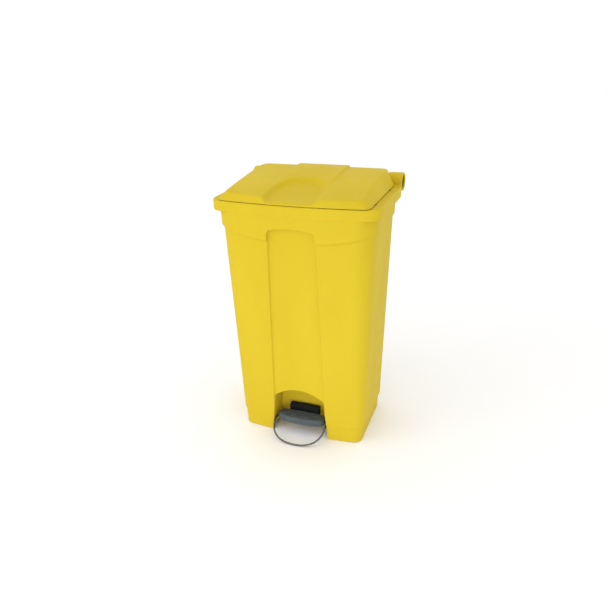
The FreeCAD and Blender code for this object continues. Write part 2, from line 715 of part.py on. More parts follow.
# ---------------------------------------------------------------- pedal linkage
def pedal_lever():
    """Steel lever: level toe under the pad, hub on the axle, and a fork at the push rod."""
    pivot_y, pivot_z = "-Dims.pivot_front", "Dims.pivot_height"
    end_y = "Dims.lever_rear - Dims.pivot_front"
    end_z = "Dims.pivot_height - Dims.lever_drop"
    half = "Dims.lever_thick / 2"
    toe_z = "Dims.pad_bottom + 11"
    body = new_body("pedal_lever")
    side = sketch_on(body, "lever_face", "YZ_Plane")
    profile(side, [
        ("-(Dims.pad_front - 6)", "%s - %s" % (toe_z, half)),
        ("-Dims.pad_back + 28", "%s - %s" % (toe_z, half)),
        (pivot_y, "%s - %s" % (pivot_z, half)),
        ("%s - 22" % end_y, "%s + 3.2 - %s" % (end_z, half)),
        ("%s - 22" % end_y, "%s + 3.2 + %s" % (end_z, half)),
        (pivot_y, "%s + %s" % (pivot_z, half)),
        ("-Dims.pad_back + 28", "%s + %s" % (toe_z, half)),
        ("-(Dims.pad_front - 6)", "%s + %s" % (toe_z, half)),
    ])
    pad(body, "lever_bar", side, "2 * Dims.lever_half_width", midplane=True)
    hub = sketch_on(body, "hub_face", "YZ_Plane")
    circle(hub, pivot_y, pivot_z, "Dims.pedal_axle_radius + 6")
    pad(body, "hub", hub, "84", midplane=True)
    for name, sign in LEFT_RIGHT:
        tine = sketch_on(body, "tine_face_" + name, "YZ_Plane", "%d * 8" % sign)
        profile(tine, [
            ("%s - 26" % end_y, "%s - 2.5" % end_z),
            ("%s + 4" % end_y, "%s - 7.5" % end_z),
            ("%s + 4" % end_y, "%s + 7.5" % end_z, ("%s + 8.5" % end_y, end_z)),
            ("%s - 26" % end_y, "%s + 9.5" % end_z),
        ])
        pad(body, "tine_" + name, tine, "5", backwards=sign < 0)
    bore = sketch_on(body, "axle_bore_face", "YZ_Plane")
    circle(bore, pivot_y, pivot_z, "Dims.pedal_axle_radius + 1.5")
    pocket(body, "bush_bore", bore, "120", midplane=True)
    pin = sketch_on(body, "rod_pin_bore_face", "YZ_Plane")
    circle(pin, end_y, end_z, "Dims.link_pin_radius")
    pocket(body, "rod_pin_bore", pin, "60", midplane=True)
    finish(body)
    finish(ring("pedal_bush", "Dims.pedal_axle_radius + 1.45",
                "Dims.pedal_axle_radius + Dims.fit_clearance", "84",
                "-42", pivot_y, pivot_z, (1, 0, 0)))
    finish(round_bar("lower_link_pin", "Dims.link_pin_radius", "30", "-15", end_y, end_z, (1, 0, 0)))


def pedal_pad():
    """Ribbed tread on the toe of the lever, with a socket for it."""
    body = new_body("pedal_pad")
    tread = sketch_on(body, "pad_outline", "XY_Plane", "Dims.pad_bottom")
    outline(tread, "Dims.pad_half_width", "Dims.pad_front", "-Dims.pad_back", "18",
            "Dims.pad_bow")
    slab = pad(body, "pad_block", tread, "Dims.pad_top - Dims.pad_bottom")
    doc.recompute()
    for name, height, radius in (("upper", "Dims.pad_top", "7"), ("lower", "Dims.pad_bottom", "5")):
        edges = ["Edge%d" % number for number, edge in enumerate(slab.Shape.Edges, start=1)
                 if abs(edge.BoundBox.Center.z - value(height)) < 0.1]
        rounding = body.newObject("PartDesign::Fillet", name + "_rounding")
        rounding.Base = (slab, edges)
        bind(rounding, Radius=radius)
        doc.recompute()
        slab = rounding
    for number in range(4):
        rib = sketch_on(body, "rib_face_%d" % number, "YZ_Plane")
        along = "-(Dims.pad_back + %d)" % (7 + 9 * number)
        profile(rib, [
            (along, "Dims.pad_top - 1"),
            (along + " - 4", "Dims.pad_top - 1"),
            (along + " - 4", "Dims.pad_top + 1.2"),
            (along, "Dims.pad_top + 1.2"),
        ])
        pad(body, "rib_%d" % number, rib, "2 * (Dims.pad_half_width - 14)", midplane=True)
    slot = sketch_on(body, "socket_face", "XZ_Plane", "Dims.pad_back - 2")
    wide, level = "(Dims.lever_half_width + 0.1)", "Dims.pad_bottom + 11"
    high = "(Dims.lever_thick / 2 + 0.1)"
    profile(slot, [
        ("-" + wide, "%s - %s" % (level, high)),
        (wide, "%s - %s" % (level, high)),
        (wide, "%s + %s" % (level, high)),
        ("-" + wide, "%s + %s" % (level, high)),
    ])
    pocket(body, "lever_socket", slot, "Dims.pad_front - Dims.pad_back - 3.5", backwards=True)
    finish(body)


def pedal_heel():
    """Raised block behind the tread that clamps round the lever."""
    heel = new_body("pedal_heel")
    face = sketch_on(heel, "heel_face", "YZ_Plane")
    profile(face, [
        ("-Dims.heel_front", "Dims.pad_bottom + 3"),
        ("-Dims.heel_back", "Dims.pad_bottom + 3"),
        ("-Dims.heel_back", "Dims.heel_top"),
        ("-Dims.heel_front + 4", "Dims.heel_top"),
        ("-Dims.heel_front", "Dims.heel_top - 4"),
    ])
    pad(heel, "heel_block", face, "2 * Dims.heel_half_width", midplane=True)
    gap = sketch_on(heel, "heel_gap_face", "XZ_Plane", "Dims.heel_back - 2")
    wide, level = "(Dims.lever_half_width + 0.1)", "Dims.pad_bottom + 11"
    high = "(Dims.lever_thick / 2 + 0.1)"
    profile(gap, [
        ("-" + wide, "%s - %s" % (level, high)),
        (wide, "%s - %s" % (level, high)),
        (wide, "%s + %s" % (level, high)),
        ("-" + wide, "%s + %s" % (level, high)),
    ])
    pocket(heel, "lever_gap", gap, "30", backwards=True)
    finish(heel)
    screws = []
    for side, sign in LEFT_RIGHT:
        screws.append(screw("pedal_screw_" + side, "%d * 8" % sign, "-(Dims.pad_back + 18)",
                            "Dims.pad_bottom - 0.05", (0, 0, -1), length="5.8", rise="2.2"))
    finish(group("pedal_screws", screws))


def pedal_mount():
    """Axle, two brackets under the floor, end clips, floor screws and a rubber stop."""
    y, z = "-Dims.pivot_front", "Dims.pivot_height"
    finish(round_bar("pedal_axle", "Dims.pedal_axle_radius", "132", "-66", y, z, (1, 0, 0)))
    clips = []
    screws = []
    for side, sign in LEFT_RIGHT:
        label = "pedal_bracket_" + side
        body = new_body(label)
        cheek = sketch_on(body, label + "_cheek_face", "YZ_Plane", "%d * 48" % sign)
        profile(cheek, [
            (y + " - 26", "Dims.floor_height"),
            (y + " - 11", z),
            (y + " + 11", z, (y, z + " - 11")),
            (y + " + 26", "Dims.floor_height"),
        ])
        pad(body, label + "_cheek", cheek, "4", backwards=sign < 0)
        foot = sketch_on(body, label + "_foot_outline", "XY_Plane", "Dims.floor_height - 4")
        near, far = "%d * 48" % sign, "%d * 78" % sign
        profile(foot, [(near, y + " - 26"), (far, y + " - 26"), (far, y + " + 26"), (near, y + " + 26")])
        pad(body, label + "_foot", foot, "4")
        bore = sketch_on(body, label + "_bore_face", "YZ_Plane")
        circle(bore, y, z, "Dims.pedal_axle_radius + Dims.fit_clearance")
        pocket(body, label + "_bore", bore, "200", midplane=True)
        finish(body)
        clips.append(ring("axle_clip_" + side, "9", "Dims.pedal_axle_radius", "1.6",
                          "%d * 53" % sign, y, z, (sign, 0, 0)))
        for number, along in enumerate((-16, 16)):
            screws.append(screw("bracket_screw_%s_%d" % (side, number), "%d * 66" % sign,
                                "%s + %d" % (y, along), "Dims.floor_height - 4.02",
                                (0, 0, -1), length="7.4"))
    finish(group("axle_clips", clips))
    finish(group("bracket_screws", screws))
    stop = round_bar("stop_foot", "9", "5", "0", "70", "Dims.floor_height - 5", (0, 0, 1))
    tip = doc.addObject("Part::Cone", "stop_tip")
    bind(tip, Radius1="5.5", Radius2="9", Height="24.2")
    bind(tip, **{"Placement.Base.y": "70", "Placement.Base.z": "Dims.floor_height - 29.2"})
    finish(fuse("pedal_stop", [stop, tip]))


def rod_back(height):
    """Where the leaning push rod is along Y at a height."""
    return "Dims.rod_foot_back + ((%s) - Dims.rod_foot_height) * Dims.rod_slope" % height


def push_rod():
    """Leaning steel rod with a slotted eye at each end, and the guides it slides in."""
    low = "Dims.rod_foot_height + 9"
    high = "Dims.lid_arm_z - 9"
    rod = doc.addObject("Part::Cylinder", "push_rod")
    rod.Label = "push_rod"
    bind(rod, Radius="Dims.rod_radius", Height="(%s) - (%s)" % (high, low))
    tilt = math.degrees(math.atan(value("Dims.rod_slope")))
    lean = FreeCAD.Rotation(FreeCAD.Vector(1, 0, 0), -tilt)
    rod.Placement = FreeCAD.Placement(FreeCAD.Vector(0, 0, value(low)), lean)
    rod.setExpression("Placement.Base.z", low)
    rod.setExpression("Placement.Base.y", rod_back(low))
    finish(rod)

    def eye(name, height, reach, slot, grip_z):
        y = rod_back(height)
        slab = block(name + "_slab", ("12", "2 * " + reach, "16"),
                     ("-6", "%s - %s" % (y, reach), "%s - 8" % height))
        tall = "Dims.link_pin_radius + 0.8"
        middle = block(name + "_slot", ("14", "2 * " + slot, "2 * (%s)" % tall),
                       ("-7", "%s - %s" % (y, slot), "%s - (%s)" % (height, tall)))
        ends = [round_bar("%s_slot_%d" % (name, number), tall, "14", "-7",
                          "%s + %d * %s" % (y, way, slot), height, (1, 0, 0))
                for number, way in enumerate((-1, 1))]
        collar = round_bar(name + "_collar", "5.2", "18", "0", y, grip_z, (0, 0, 1))
        hole = doc.addObject("Part::Cylinder", name + "_rod_hole")
        bind(hole, Radius="Dims.rod_radius + 0.02", Height="60")
        below = "%s - 20" % grip_z
        hole.Placement = FreeCAD.Placement(FreeCAD.Vector(0, 0, 0), lean)
        bind(hole, **{"Placement.Base.z": below, "Placement.Base.y": rod_back(below)})
        start = low + " - 0.3" if height.endswith("foot_height") else high + " - 29.7"
        keep = block(name + "_rod_room", ("16", "30", "30"),
                     ("-8", "%s - 15" % y, start))
        bored = doc.addObject("Part::Common", name + "_bore")
        bored.Base = hole
        bored.Tool = keep
        return cut(name, fuse(name + "_body", [slab, collar]), [middle, bored] + ends)

    finish(eye("rod_eye_lower", "Dims.rod_foot_height", "8", "0.9", "Dims.rod_foot_height + 6"))
    finish(eye("rod_eye_upper", "Dims.lid_arm_z", "11", "5.3", "Dims.lid_arm_z - 24"))
    screws = []
    for name, height in (("lower", "170"), ("upper", "650")):
        y = rod_back(height)
        deep = "%s + 9 - Dims.groove_bottom" % y
        slab = block("rod_guide_%s_slab" % name, ("2 * Dims.groove_half_width - 0.3", deep, "26"),
                     ("-Dims.groove_half_width + 0.15", "Dims.groove_bottom + 0.05", height + " - 13"))
        hole = doc.addObject("Part::Cylinder", "rod_guide_%s_hole" % name)
        bind(hole, Radius="Dims.rod_radius + 0.35", Height="60")
        below = height + " - 30"
        hole.Placement = FreeCAD.Placement(FreeCAD.Vector(0, 0, 0), lean)
        bind(hole, **{"Placement.Base.z": below, "Placement.Base.y": rod_back(below)})
        holes = [hole]
        for side, sign in LEFT_RIGHT:
            x = "%d * 10.5" % sign
            face = "%s + 9.05" % y
            holes.append(round_bar("guide_hole_%s_%s" % (name, side), "2", "60", x,
                                   "%s + 20" % y, height, (0, -1, 0)))
            screws.append(screw("guide_screw_%s_%s" % (name, side), x, face, height, (0, 1, 0),
                                shank="1.95", length="%s - Dims.groove_bottom + 3" % face,
                                head="3.6", rise="2"))
        finish(cut("rod_guide_" + name, slab, holes))
    finish(group("guide_screws", screws))


def lid_arm():
    """Steel bracket on the lid's rear wall that carries the upper link pin."""
    y, z = "Dims.lid_arm_y", "Dims.lid_arm_z"
    face = "(Dims.lid_rear - Dims.lid_wall - 0.65)"
    plate = block("arm_plate", ("52", "3", "26"), ("-26", face + " - 3", "Dims.lid_bottom + 7"))
    cheeks = []
    for side, sign in LEFT_RIGHT:
        body = new_body("arm_cheek_" + side)
        outline_face = sketch_on(body, "arm_face_" + side, "YZ_Plane", "%d * 7" % sign)
        profile(outline_face, [
            (y + " - 8", z),
            (y + " + 8", z, (y, z + " - 8")),
            (face, "Dims.lid_bottom - 1"),
            (face + " - 0.5", "Dims.lid_bottom + 33"),
            (face + " - 14", "Dims.lid_bottom + 20"),
        ])
        pad(body, "arm_cheek_pad_" + side, outline_face, "3.5", backwards=sign < 0)
        cheeks.append(body)
    bore = round_bar("arm_bore", "Dims.link_pin_radius", "40", "-20", y, z, (1, 0, 0))
    finish(cut("lid_arm", fuse("arm_body", [plate] + cheeks), [bore]))
    finish(round_bar("upper_link_pin", "Dims.link_pin_radius", "25", "-12.5", y, z, (1, 0, 0)))
    screws = [screw("arm_screw_" + side, "%d * 19" % sign, face + " - 3.02", "Dims.lid_bottom + 20",
                    (0, -1, 0), length="7") for side, sign in LEFT_RIGHT]
    finish(group("lid_arm_screws", screws))


# ---------------------------------------------------------------- stabiliser
def stabiliser():
    """Bent steel wire that runs from the alcove walls to the floor ahead of the pedal."""
    wire, wide = value("Dims.loop_wire"), value("Dims.loop_half_width")
    low = value("Dims.loop_floor_gap") + wire
    inset = wide - 3.0
    points = [(-inset, -84.0, 40.0), (-inset, -112.0, 40.0), (-wide, -128.0, 42.0)]
    bend = FreeCAD.Vector(-wide, -152.0, 45.0)
    tip = value("Dims.tub_front") + 72.0
    fall = (bend.z - low) / (tip + bend.y)
    steps = 6
    corners = [FreeCAD.Vector(*point) for point in points] + [bend]
    power = 2 / 2.35
    for step in range(1, 2 * steps):
        turn = math.pi * (1 - step / (2 * steps))
        x = wide * math.copysign(abs(math.cos(turn)) ** power, math.cos(turn))
        ahead = (tip + bend.y) * math.sin(turn) ** power
        corners.append(FreeCAD.Vector(x, bend.y - ahead, bend.z - fall * ahead))
    corners += [FreeCAD.Vector(-point.x, point.y, point.z) for point in reversed(corners[:4])]
    edges = []
    last = corners[0]
    for before, corner, after in zip(corners, corners[1:], corners[2:]):
        arrive, leave = (before - corner), (after - corner)
        turn = math.pi - arrive.getAngle(leave)
        reach = 0.45 * min(arrive.Length, leave.Length)
        start = corner + FreeCAD.Vector(arrive).normalize() * reach
        stop = corner + FreeCAD.Vector(leave).normalize() * reach
        radius = reach / math.tan(turn / 2)
        inward = (FreeCAD.Vector(arrive).normalize() + FreeCAD.Vector(leave).normalize()).normalize()
        middle = corner + inward * (radius / math.cos(turn / 2) - radius)
        edges.append(Part.LineSegment(last, start).toShape())
        edges.append(Part.Arc(start, middle, stop).toShape())
        last = stop
    edges.append(Part.LineSegment(last, corners[-1]).toShape())
    path = Part.Wire(edges)
    heading = (corners[1] - corners[0]).normalize()
    section = Part.Wire([Part.Circle(corners[0], heading, wire).toShape()])
    loop = doc.addObject("Part::Feature", "stabiliser_loop")
    loop.Label = "stabiliser_loop"
    loop.Shape = path.makePipeShell([section], True, False)
    finish(loop)
    clips = []
    screws = []
    for side, sign in LEFT_RIGHT:
        x = "%d * (Dims.loop_half_width - 3)" % sign
        label = "loop_saddle_" + side
        saddle = new_body(label)
        face = sketch_on(saddle, label + "_face", "XZ_Plane", "86")
        lean = "(Dims.alcove_foot - Dims.alcove_head) / Dims.alcove_shoulder"
        wall = "%d * (Dims.alcove_foot - 0.1 - %%s * %s)" % (sign, lean)
        inner = "%d * (Dims.loop_half_width - 9)" % sign
        profile(face, [(inner, "29"), (wall % "29", "29"), (wall % "47", "47"), (inner, "47")])
        pad(saddle, label + "_block", face, "16")
        room = sketch_on(saddle, label + "_wire_face", "XZ_Plane", "80")
        circle(room, x, "40", "Dims.loop_wire + 0.05")
        pocket(saddle, label + "_wire_room", room, "30", backwards=True)
        clips.append(saddle)
        screws.append(screw("loop_screw_" + side, "%s - 0.02 * %d" % (inner, sign), "-94", "33",
                            (-sign, 0, 0), shank="1.6", length="13", head="3", rise="1.8"))
    return clips, screws


# ---------------------------------------------------------------- wheels
def wheels():
    """Two small wheels, each on a pin in its own fork under the rear of the floor."""
    y, z = "Dims.wheel_back", "Dims.wheel_height"
    fork_screws = []
    caps = []
    for side, sign in LEFT_RIGHT:
        centre = "%d * Dims.wheel_side" % sign
        inner = "%s - %d * Dims.wheel_half_width" % (centre, sign)
        way = (sign, 0, 0)
        width = "2 * Dims.wheel_half_width"
        finish(ring("wheel_" + side, "Dims.tyre_bore - 0.02", "Dims.wheel_pin_radius + Dims.fit_clearance",
                    width, inner, y, z, way))
        finish(ring("tyre_" + side, "Dims.wheel_radius", "Dims.tyre_bore", width, inner, y, z, way))
        label = "wheel_fork_" + side
        body = new_body(label)
        for name, offset in (("inner", -17), ("outer", 14)):
            start = "%s + %d" % (centre, offset)
            cheek = sketch_on(body, "%s_%s_face" % (label, name), "YZ_Plane", start)
            profile(cheek, [
                (y + " - 34", "Dims.floor_height - 1"),
                (y + " - 8", z),
                (y + " + 8", z, (y, z + " - 8")),
                (y + " + 2", "Dims.floor_height - 26"),
                (y + " + 2", "Dims.floor_height - 1"),
            ])
            pad(body, "%s_%s" % (label, name), cheek, "3")
            if name == "inner":
                top = sketch_on(body, label + "_plate_outline", "XY_Plane", "Dims.floor_height - 3")
                profile(top, [
                    (centre + " - 17", y + " - 52"),
                    (centre + " + 17", y + " - 52"),
                    (centre + " + 17", y + " + 2"),
                    (centre + " - 17", y + " + 2"),
                ])
                pad(body, label + "_plate", top, "3")
        bore = sketch_on(body, label + "_bore_face", "YZ_Plane", centre)
        circle(bore, y, z, "Dims.wheel_pin_radius")
        pocket(body, label + "_bore", bore, "60", midplane=True)
        finish(body)
        finish(round_bar("wheel_pin_" + side, "Dims.wheel_pin_radius", "42",
                         "%s - 21" % centre, y, z, (1, 0, 0)))
        for number, start in enumerate(("%s - 19.05" % centre, "%s + 17.05" % centre)):
            caps.append(ring("pin_cap_%s_%d" % (side, number), "7", "Dims.wheel_pin_radius",
                             "2", start, y, z, (1, 0, 0)))
        for number, across in enumerate((-9, 9)):
            fork_screws.append(screw("fork_screw_%s_%d" % (side, number),
                                     "%s + %d" % (centre, across), y + " - 45",
                                     "Dims.floor_height - 3.02", (0, 0, -1), length="6.6"))
    finish(group("wheel_pin_caps", caps))
    finish(group("wheel_fork_screws", fork_screws))


def check_and_write():
    """Stop on any failed object or bad shape, then write one STEP file for each sub-part."""
    doc.recompute()
    for thing in doc.Objects:
        if "Invalid" in thing.State or "Error" in thing.State:
            raise RuntimeError("%s failed: %s" % (thing.Label, thing.State))
    for thing in parts:
        if thing.Shape.isNull() or not thing.Shape.isValid():
            raise RuntimeError("%s has no valid shape" % thing.Label)
    os.makedirs("parts", exist_ok=True)
    for thing in parts:
        thing.Shape.exportStep(os.path.join("parts", thing.Label + ".step"))
        print("%-24s solids %d volume %.0f" % (thing.Label, len(thing.Shape.Solids), thing.Shape.Volume))


sheet = make_sheet()
tub()
lid()
lid_buffers()
hinge()
pedal_lever()
pedal_pad()
pedal_heel()
pedal_mount()
push_rod()
lid_arm()
loop_saddles, loop_screws = stabiliser()
finish(group("loop_saddles", loop_saddles))
finish(group("loop_screws", loop_screws))
wheels()
check_and_write()
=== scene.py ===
"""Pedal bin: moulded yellow tub and lid, grey pedal, steel linkage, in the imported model's frame."""
import json
import math

import bmesh
import bpy
from mathutils import Matrix, Vector


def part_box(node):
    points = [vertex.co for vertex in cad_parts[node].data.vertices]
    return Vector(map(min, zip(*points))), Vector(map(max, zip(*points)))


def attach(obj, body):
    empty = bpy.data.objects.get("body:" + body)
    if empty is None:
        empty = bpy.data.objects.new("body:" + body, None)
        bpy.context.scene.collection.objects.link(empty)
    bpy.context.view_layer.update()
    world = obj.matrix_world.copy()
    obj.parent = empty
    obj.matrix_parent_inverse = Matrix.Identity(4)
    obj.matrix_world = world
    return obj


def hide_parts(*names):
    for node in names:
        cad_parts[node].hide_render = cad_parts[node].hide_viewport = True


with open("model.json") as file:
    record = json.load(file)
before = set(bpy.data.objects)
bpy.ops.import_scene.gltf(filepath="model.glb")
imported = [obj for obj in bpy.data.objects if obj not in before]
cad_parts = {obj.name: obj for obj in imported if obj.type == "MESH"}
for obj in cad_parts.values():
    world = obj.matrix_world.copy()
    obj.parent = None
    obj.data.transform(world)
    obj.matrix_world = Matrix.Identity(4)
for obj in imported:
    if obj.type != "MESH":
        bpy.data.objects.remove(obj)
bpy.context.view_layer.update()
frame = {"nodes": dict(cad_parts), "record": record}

NODES = frame["nodes"]

# camera, as turns round a point above the middle of the tub's base
SHIFT_BACK = 0.0174
AIM_HEIGHT = 0.410
AZIMUTH, ELEVATION, ROLL = 20.561, 23.938, -1.541
DISTANCE = 1.9184
SLIDE_RIGHT, SLIDE_UP = -0.02932, -0.00822
LENS = 35.45

# mesh size of each remoulded piece, and how many times it is smoothed
TUB_VOXEL, TUB_ROUNDS = 0.0015, 18
LID_VOXEL, LID_ROUNDS = 0.0016, 8
CROWN_ROUNDS = 30

# edge bevels
HEEL_BEVEL, PAD_BEVEL, SMALL_BEVEL = 0.0026, 0.0005, 0.0006

# tyre and hub, as distances from their own edges
TYRE_SHOULDER = 0.0035
GROOVE_TOP, GROOVE_FOOT, GROOVE_DEPTH = 0.0012, 0.0007, 0.0012
HUB_BORE, HUB_BOSS, HUB_RIM, HUB_DISH = 0.0041, 0.010, 0.003, 0.006
CHAMFER = 0.001

# half the side of the floor
FLOOR_REACH = 14.0

# where the softest creases of the lid begin, above its foot and ahead of its rear wall
CROWN_START, CROWN_BLEND = 0.010, 0.006
LID_REAR = 0.140

# triangles left in the two large mouldings
TUB_TRIANGLES, LID_TRIANGLES = 195000, 150000

# brightness of the surroundings
HORIZON_LIGHT, ZENITH_LIGHT = 1.15, 1.04

# linear colours
YELLOW = (0.625, 0.465, 0.024)
YELLOW_DEEP = (0.590, 0.434, 0.020)
PEDAL_GREY = (0.059, 0.077, 0.086)
NEAR_BLACK = (0.012, 0.014, 0.014)
ZINC = (0.50, 0.51, 0.52)
WIRE = (0.16, 0.16, 0.155)
RUBBER = (0.012, 0.012, 0.012)


# ---------------------------------------------------------------- materials
class Nodes:
    """A short way to add and join shader nodes in one material."""

    def __init__(self, name):
        self.material = bpy.data.materials.new(name)
        self.material.use_nodes = True
        self.tree = self.material.node_tree
        self.shader = self.tree.nodes["Principled BSDF"]
        self.place = self.add("ShaderNodeTexCoord").outputs["Object"]

    def add(self, kind, **settings):
        node = self.tree.nodes.new(kind)
        for key, setting in settings.items():
            setattr(node, key, setting)
        return node

    def join(self, source, target):
        self.tree.links.new(source, target)

    def noise(self, scale, detail=4.0, rough=0.55, stretch=None):
        node = self.add("ShaderNodeTexNoise")
        node.inputs["Scale"].default_value = scale
        node.inputs["Detail"].default_value = detail
        node.inputs["Roughness"].default_value = rough
        place = self.place
        if stretch:
            mapping = self.add("ShaderNodeMapping")
            mapping.inputs["Scale"].default_value = stretch
            self.join(place, mapping.inputs["Vector"])
            place = mapping.outputs["Vector"]
        self.join(place, node.inputs["Vector"])
        return node.outputs["Fac"]

    def ramp(self, source, stops):
        node = self.add("ShaderNodeValToRGB")
        ramp = node.color_ramp
        while len(ramp.elements) < len(stops):
            ramp.elements.new(0.5)
        for element, (position, colour) in zip(ramp.elements, stops):
            element.position = position
            element.color = (*colour, 1.0)
        self.join(source, node.inputs["Fac"])
        return node.outputs["Color"]

    def span(self, source, low, high, from_low=0.3, from_high=0.7):
        node = self.add("ShaderNodeMapRange")
        node.inputs["From Min"].default_value = from_low
        node.inputs["From Max"].default_value = from_high
        node.inputs["To Min"].default_value = low
        node.inputs["To Max"].default_value = high
        self.join(source, node.inputs["Value"])
        return node.outputs["Result"]

    def blend(self, amount, first, second):
        node = self.add("ShaderNodeMix", data_type="RGBA")
        self.join(amount, node.inputs["Factor"])
        for socket, colour in ((node.inputs[6], first), (node.inputs[7], second)):
            if isinstance(colour, tuple):
                socket.default_value = (*colour, 1.0)
            else:
                self.join(colour, socket)
        return node.outputs[2]

    def bump(self, height, strength, distance):
        node = self.add("ShaderNodeBump")
        node.inputs["Strength"].default_value = strength
        node.inputs["Distance"].default_value = distance
        self.join(height, node.inputs["Height"])
        self.join(node.outputs["Normal"], self.shader.inputs["Normal"])

    def set(self, **values):
        names = {"rough": "Roughness", "metal": "Metallic", "specular": "Specular IOR Level"}
        for key, number in values.items():
            self.shader.inputs[names[key]].default_value = number


def moulded_plastic(name, colour, deep, rough, grain, scuff):
    """Moulded plastic: faint colour flow, paler upright scuffs and a fine leathered grain."""
    nodes = Nodes(name)
    flow = nodes.ramp(nodes.noise(5.0, 3.0, 0.5, (1.0, 1.0, 0.35)), [(0.30, deep), (0.62, colour)])
    streak = nodes.noise(38.0, 5.0, 0.62, (1.0, 1.0, 0.12))
    scuffs = nodes.span(streak, 0.0, scuff, 0.60, 0.78)
    pale = tuple(min(1.0, part * 1.08 + 0.012) for part in colour)
    nodes.join(nodes.blend(scuffs, flow, pale), nodes.shader.inputs["Base Color"])
    nodes.join(nodes.span(nodes.noise(26.0, 6.0, 0.6), rough - 0.05, rough + 0.09),
               nodes.shader.inputs["Roughness"])
    nodes.bump(nodes.noise(grain, 3.0, 0.6), 0.16, 0.00025)
    nodes.set(specular=0.07)
    return nodes.material


def metal(name, colour, rough, stretch, tarnish):
    """Plated or drawn steel: directional drawing marks, patchy dullness and dark tarnish."""
    nodes = Nodes(name)
    patches = nodes.noise(60.0, 5.0, 0.6)
    dark = tuple(part * (1.0 - tarnish) for part in colour)
    nodes.join(nodes.ramp(patches, [(0.32, dark), (0.60, colour)]), nodes.shader.inputs["Base Color"])
    lines = nodes.noise(900.0, 2.0, 0.5, stretch)
    nodes.join(nodes.span(lines, rough - 0.08, rough + 0.12), nodes.shader.inputs["Roughness"])
    nodes.bump(lines, 0.12, 0.0001)
    nodes.set(metal=1.0)
    return nodes.material


def rubber(name):
    """Black rubber with a matt bloom and a fine pebbled skin."""
    nodes = Nodes(name)
    bloom = nodes.noise(45.0, 5.0, 0.65)
    nodes.join(nodes.ramp(bloom, [(0.35, RUBBER), (0.75, (0.040, 0.039, 0.037))]),
               nodes.shader.inputs["Base Color"])
    nodes.join(nodes.span(bloom, 0.62, 0.82), nodes.shader.inputs["Roughness"])
    nodes.bump(nodes.noise(1400.0, 2.0, 0.5), 0.2, 0.0002)
    nodes.set(specular=0.3)
    return nodes.material


def ribbed_grip(name):
    """Grey tread plastic, rubbed paler where the shoe lands."""
    nodes = Nodes(name)
    worn = nodes.span(nodes.noise(32.0, 5.0, 0.6, (1.0, 2.2, 1.0)), 0.0, 0.55, 0.45, 0.75)
    nodes.join(nodes.blend(worn, PEDAL_GREY, (0.100, 0.121, 0.130)), nodes.shader.inputs["Base Color"])
    nodes.join(nodes.span(worn, 0.62, 0.44, 0.0, 0.5), nodes.shader.inputs["Roughness"])
    nodes.bump(nodes.noise(1100.0, 3.0, 0.6), 0.22, 0.0002)
    nodes.set(specular=0.4)
    return nodes.material


def make_materials():
    dark = tuple(part * 0.6 for part in NEAR_BLACK)
    return {
        "yellow_plastic": moulded_plastic("yellow_moulding", YELLOW, YELLOW_DEEP, 0.52, 1300.0, 0.20),
        "pedal_plastic": ribbed_grip("pedal_tread"),
        "dark_plastic": moulded_plastic("black_moulding", NEAR_BLACK, dark, 0.48, 1500.0, 0.10),
        "zinc_steel": metal("zinc_plate", ZINC, 0.34, (1.0, 0.05, 1.0), 0.35),
        "wire_steel": metal("drawn_wire", WIRE, 0.36, (0.05, 1.0, 1.0), 0.30),
        "fastener_steel": metal("screw_steel", ZINC, 0.28, (1.0, 1.0, 1.0), 0.25),
        "wheel_plastic": moulded_plastic("wheel_moulding", (0.02, 0.02, 0.021), dark, 0.45, 900.0, 0.15),
        "tyre_rubber": rubber("tyre_rubber"),
        "buffer_rubber": rubber("buffer_rubber"),
    }


def paint(thing, material):
    thing.data.materials.clear()
    thing.data.materials.append(material)


# ---------------------------------------------------------------- pieces
def body_of(node):
    bodies = frame["record"]["behaviour"]["bodies"]
    return next(body for body, members in bodies.items() if node in members)


def slot_of(node):
    return next(part["material_slot"] for part in frame["record"]["subparts"] if part["node"] == node)


def take_over(piece, node):
    """Show a piece in place of a CAD node, on the same body and with the same finish."""
    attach(piece, body_of(node))
    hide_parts(node)
    paint(piece, MATERIALS[slot_of(node)])


def settle(thing):
    """Apply an object's modifiers, so that its mesh is what shows."""
    graph = bpy.context.evaluated_depsgraph_get()
    mesh = bpy.data.meshes.new_from_object(thing.evaluated_get(graph))
    thing.modifiers.clear()
    thing.data = mesh


def melt(piece, rounds, group=""):
    """Smooth a dense mesh, or only the vertices of one of its groups."""
    smooth = piece.modifiers.new("melt_edges", "SMOOTH")
    smooth.factor = 0.5
    smooth.iterations = rounds
    smooth.vertex_group = group
    settle(piece)


def soften(node, name, voxel, rounds):
    """A moulded version of a CAD node: its sharp edges melted to small fillets."""
    mesh = bpy.data.meshes.new(name)
    source = bmesh.new()
    source.from_mesh(NODES[node].data)
    bmesh.ops.remove_doubles(source, verts=source.verts, dist=1e-6)
    source.to_mesh(mesh)
    source.free()
    piece = bpy.data.objects.new(name, mesh)
    bpy.context.scene.collection.objects.link(piece)
    remesh = piece.modifiers.new("even_skin", "REMESH")
    remesh.mode = "VOXEL"
    remesh.voxel_size = voxel
    remesh.use_smooth_shade = True
    settle(piece)
    melt(piece, rounds)
    take_over(piece, node)
    return piece


def soften_crown(piece):
    """Wider fillets on the upper side of the lid, which is moulded with very soft creases."""
    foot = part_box("lid")[0][2]
    crown = piece.vertex_groups.new(name="crown")
    for vertex in piece.data.vertices:
        place = vertex.co
        rise = min(1.0, max(0.0, (place.z - foot - CROWN_START) / CROWN_BLEND))
        inward = min(1.0, max(0.0, (LID_REAR - place.y) / CROWN_BLEND))
        if rise * inward > 0.0:
            crown.add([vertex.index], rise * inward, "REPLACE")
    melt(piece, CROWN_ROUNDS, "crown")


